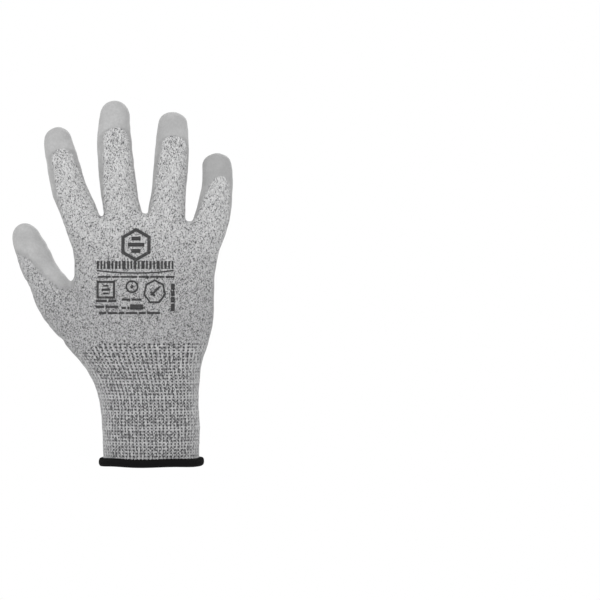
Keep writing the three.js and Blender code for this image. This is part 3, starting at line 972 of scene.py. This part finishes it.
# the print, in mm on the back: plain bars, icons and an emblem
printForm = {
    # rows of bars: height of the row's middle, bar height, left end, bar widths, space
    "rows": [
        (143.0, 5.6, -38, [1.6, 1.2, 1.2, 2.2, 1.2, 1.6, 1.2, 2.4, 1.2, 1.2, 1.8, 1.2, 2.2, 1.2, 1.6, 1.2,
                           2.0, 1.2, 1.6, 1.2, 1.2], 1.15),
        (134.6, 1.3, -37, [9, 5, 12, 7, 10, 6], 1.0),
        (117.6, 1.7, -38.5, [8, 5.5], 1.0), (113.4, 1.7, -38.5, [6, 9], 1.0),
        (109, 1.5, -36, [5, 7, 4, 8, 5, 9], 1.0),
        (118.5, 1.5, -20, [6, 7], 1.0), (112.6, 1.5, -20, [3, 1.5], 1.0),
    ],
    # single bars, level or turned: middle (x, height), width, height, turn in degrees
    "bars": [
        (-37.2, 125.5, 1.5, 12.5, 0), (-25.5, 125.5, 1.5, 12.5, 0), (-31.3, 131, 11, 1.5, 0),
        (-31.3, 120, 11, 1.5, 0), (-31.3, 125.5, 6, 1.6, 0), (-31.3, 128.2, 4, 1.2, 0),
        (-31.3, 122.8, 4, 1.2, 0), (16, 127.5, 2.6, 4.2, 0), (16, 122.8, 2.6, 3.4, 0),
        (16, 118.4, 2.6, 3.8, 0), (16, 113, 2.6, 5.2, 0), (-9.5, 113.2, 9.2, 3.6, 0),
        (-10.1, 161.7, 6.5, 2.7, 0), (-10.1, 157.3, 11.5, 2.7, 0), (-10.1, 152.9, 6.5, 2.7, 0),
        (-12.8, 127.6, 2.2, 2.2, 45), (3.8, 124.6, 8.5, 1.5, 45), (1.8, 122.6, 1.5, 4.4, 45),
    ],
    # bands: middle (x, height), outer and inner radius, sides, turn, stretch, share of the round
    "bands": [
        (-10.1, 157.3, 12, 9.4, 6, 30, 1.0, 1.0), (-12.8, 127.6, 4.6, 3.4, 20, 0, 1.0, 1.0),
        (3.2, 124, 8.2, 6.9, 7, 90, 1.08, 1.0), (-10.6, 337.2, 200.4, 199.5, 24, 262.2, 1.0, 15.6 / 360),
    ],
    "step": 1.6, "longest": 2.4, "above": 0.18, "thickness": 0.12,
    "low": (0.016, 0.016, 0.017), "high": (0.09, 0.09, 0.09), "roughness": 0.55,
}


def addBar(bm, x, z, width, height, turn):
    across, up = (max(1, round(size / printForm["step"])) for size in (width, height))
    verts = bmesh.ops.create_grid(bm, x_segments=across, y_segments=up, size=0.5)["verts"]
    bmesh.ops.scale(bm, verts=verts, vec=(width, height, 1))
    around = Matrix.Rotation(math.radians(turn), 3, "Z")
    bmesh.ops.rotate(bm, verts=verts, cent=(0, 0, 0), matrix=around)
    bmesh.ops.translate(bm, verts=verts, vec=(x, z, 0))


def addBand(bm, x, z, outer, inner, sides, turn, stretch, part):
    # a flat band round a centre: a short edge spun round
    a = bm.verts.new((outer, 0, 0))
    b = bm.verts.new((inner, 0, 0))
    edge = bm.edges.new((a, b))
    around = Matrix.Rotation(math.radians(turn), 3, "Z")
    bmesh.ops.rotate(bm, verts=[a, b], cent=(0, 0, 0), matrix=around)
    before = set(bm.verts) - {a, b}
    bmesh.ops.spin(bm, geom=[a, b, edge], cent=(0, 0, 0), axis=(0, 0, 1), dvec=(0, 0, 0),
                   angle=2 * math.pi * part, steps=sides, use_merge=part == 1.0, use_duplicate=False)
    verts = [v for v in bm.verts if v not in before]
    bmesh.ops.scale(bm, verts=verts, vec=(1, stretch, 1))
    bmesh.ops.translate(bm, verts=verts, vec=(x, z, 0))


def makePrint(skin):
    tree = BVHTree.FromObject(skin, bpy.context.evaluated_depsgraph_get())
    bm = bmesh.new()
    for z, height, x, widths, space in printForm["rows"]:
        for width in widths:
            addBar(bm, x + width / 2, z, width, height, 0)
            x += width + space
    for bar in printForm["bars"]:
        addBar(bm, *bar)
    for band in printForm["bands"]:
        addBand(bm, *band)
    long = [edge for edge in bm.edges if edge.calc_length() > printForm["longest"]]
    bmesh.ops.subdivide_edges(bm, edges=long, cuts=2, use_grid_fill=True)
    bmesh.ops.recalc_face_normals(bm, faces=bm.faces)
    # laid on the skin from the front; what misses the skin is left out
    lost = []
    for vert in bm.verts:
        start = Vector((vert.co.x * mm, -0.1, vert.co.y * mm))
        hit, normal, _, _ = tree.ray_cast(start, Vector((0, 1, 0)))
        if hit is None:
            lost.append(vert)
        else:
            vert.co = hit + normal * printForm["above"] * mm
    bmesh.ops.delete(bm, geom=lost, context="VERTS")
    bmesh.ops.recalc_face_normals(bm, faces=bm.faces)
    for face in bm.faces:
        if face.normal.y > 0:
            face.normal_flip()
        face.smooth = True
    made = objectFrom(bm, "backPrint")
    solid = made.modifiers.new("thickness", "SOLIDIFY")
    solid.thickness = printForm["thickness"] * mm
    solid.offset = 1
    applyModifiers(made)
    m = Material("darkPrint")
    place = m.node("ShaderNodeTexCoord", {}, {}, "Object")
    worn = m.node("ShaderNodeTexNoise", {}, {"Vector": place, "Scale": 700.0, "Detail": 4.0})
    tone = m.mix(worn.smooth(0.55, 0.75), printForm["low"], printForm["high"])
    bump = m.node("ShaderNodeBump", {}, {"Strength": 0.4, "Distance": 0.0001, "Height": worn})
    made.data.materials.append(m.finish(tone, printForm["roughness"], bump))
    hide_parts("back_print")
    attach(made, "hand")
    print("print", len(made.data.polygons), "faces")


# the elastic yarn stays as it is, in a better material
elasticTones = {"low": (0.4, 0.4, 0.4), "high": (0.62, 0.62, 0.62), "roughness": 0.75}


def dressElastic():
    m = Material("paleElasticYarn")
    place = m.node("ShaderNodeTexCoord", {}, {}, "Object")
    grain = m.node("ShaderNodeTexNoise", {}, {"Vector": place, "Scale": 1200.0, "Detail": 2.0})
    tone = m.mix(grain, elasticTones["low"], elasticTones["high"])
    elastic = frame["nodes"]["cuff_elastic_yarn"]
    elastic.data.materials.clear()
    elastic.data.materials.append(m.finish(tone, elasticTones["roughness"]))
    print("elastic yarn dressed")


# the whole glove
makeStudio()
glove = makeSkin(makeForm())
for polygon in glove.data.polygons:
    polygon.use_smooth = True
pieces = splitSkin(glove)
makePrint(pieces["handKnit"])
knitCloth = knitMaterial()
ribCloth = ribMaterial()
for name, piece in pieces.items():
    giveThickness(piece)
    piece.data.materials.append(ribCloth if name == "cuffRib" else knitCloth)
    print(name, len(piece.data.polygons), "faces")
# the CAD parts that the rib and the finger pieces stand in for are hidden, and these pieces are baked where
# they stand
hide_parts("cuff_rib", "wrist_fold", "gauntlet_rib")
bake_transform(pieces["cuffRib"])
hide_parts("hand_knit", "palm_coating")
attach(pieces["handKnit"], "hand")
for finger in fingerFrames.values():
    for i, body in enumerate(finger.bodies):
        piece = pieces[body + "Knit"]
        fold = f"{finger.name}_{bends[finger.name][i]}_fold"
        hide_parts(f"{body}_knit", f"{body}_coating", fold)
        low = finger.cuts[i] + 0.3
        high = finger.hinges[i] + (finger.hinges[i] - low)
        finger.point(low)
        finger.point(high)
        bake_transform(piece)
makeHem()
dressElastic()
